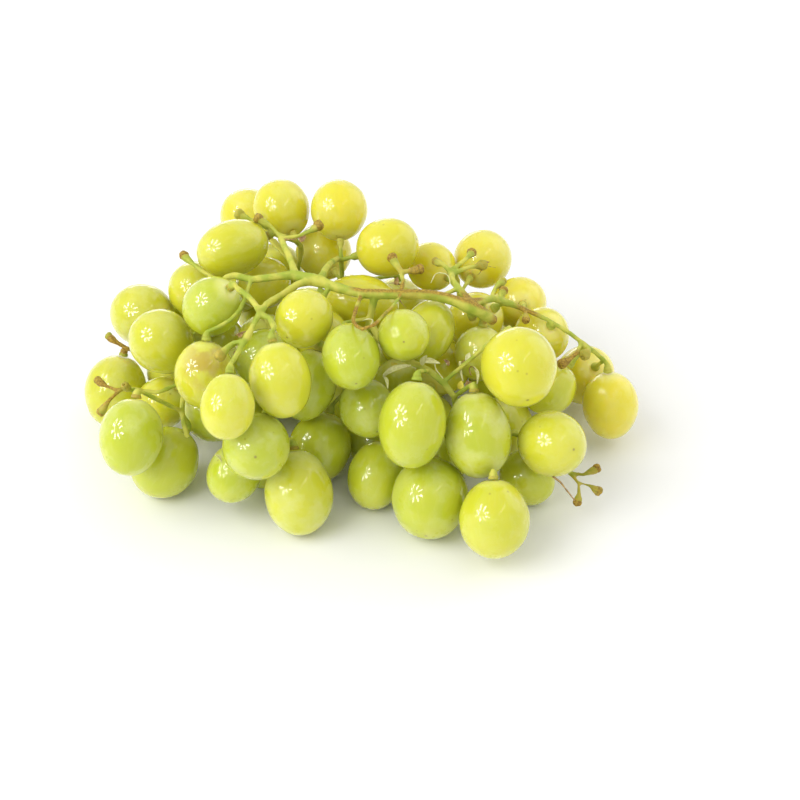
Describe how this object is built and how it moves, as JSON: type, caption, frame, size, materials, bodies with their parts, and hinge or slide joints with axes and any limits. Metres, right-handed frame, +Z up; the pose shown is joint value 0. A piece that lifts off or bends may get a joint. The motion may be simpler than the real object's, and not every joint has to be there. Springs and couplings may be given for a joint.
{
  "type": "bunch of grapes",
  "caption": "Bunch of green table grapes lying on its side, with its bare branching stem along the top, a curled tendril and empty stalk ends.",
  "frame": {"origin": "middle of the bunch's footprint, on the surface that it rests on", "axes": "+Z up; +X towards the cut end of the main stalk, along the bunch's longest side; -Y is the low side that shows most fruit, as seen by the viewer"},
  "size_m": [0.2112, 0.1684, 0.0819],
  "materials": {
    "green_skin": "yellow-green translucent grape skin, smooth and softly glossy under a thin waxy bloom",
    "ripe_skin": "riper, yellower translucent grape skin, smooth and softly glossy under a thin waxy bloom",
    "stem": "matt fresh green stem, turning brown at the cut end, the knots and the empty stalk ends"
  },
  "bodies": {
    "root": {"grape_01": "ripe_skin", "grape_02": "ripe_skin", "grape_03": "ripe_skin", "grape_04": "ripe_skin", "grape_05": "ripe_skin", "grape_06": "ripe_skin", "grape_07": "ripe_skin", "grape_08": "ripe_skin", "grape_09": "ripe_skin", "grape_10": "ripe_skin", "grape_11": "ripe_skin", "grape_12": "ripe_skin", "grape_13": "green_skin", "grape_14": "ripe_skin", "grape_15": "green_skin", "grape_16": "green_skin", "grape_17": "green_skin", "grape_18": "green_skin", "grape_19": "green_skin", "grape_20": "green_skin", "grape_21": "green_skin", "grape_22": "green_skin", "grape_23": "green_skin", "grape_24": "green_skin", "grape_25": "ripe_skin", "grape_26": "green_skin", "grape_27": "green_skin", "grape_28": "green_skin", "grape_29": "green_skin", "grape_30": "green_skin", "grape_31": "green_skin", "grape_32": "green_skin", "grape_33": "green_skin", "grape_34": "green_skin", "grape_35": "green_skin", "grape_36": "green_skin", "grape_37": "green_skin", "grape_38": "green_skin", "grape_39": "green_skin", "grape_40": "ripe_skin", "grape_41": "green_skin", "grape_42": "green_skin", "grape_43": "green_skin", "grape_44": "ripe_skin", "grape_45": "ripe_skin", "grape_46": "ripe_skin", "grape_47": "green_skin", "grape_48": "green_skin", "grape_49": "ripe_skin", "grape_50": "ripe_skin", "grape_51": "ripe_skin", "grape_52": "ripe_skin", "grape_53": "green_skin", "inner_grapes_1": "green_skin", "inner_grapes_2": "green_skin", "inner_grapes_3": "green_skin", "inner_grapes_4": "green_skin", "inner_grapes_5": "green_skin", "inner_grapes_6": "green_skin", "stem": "stem"}
  },
  "joints": []
}
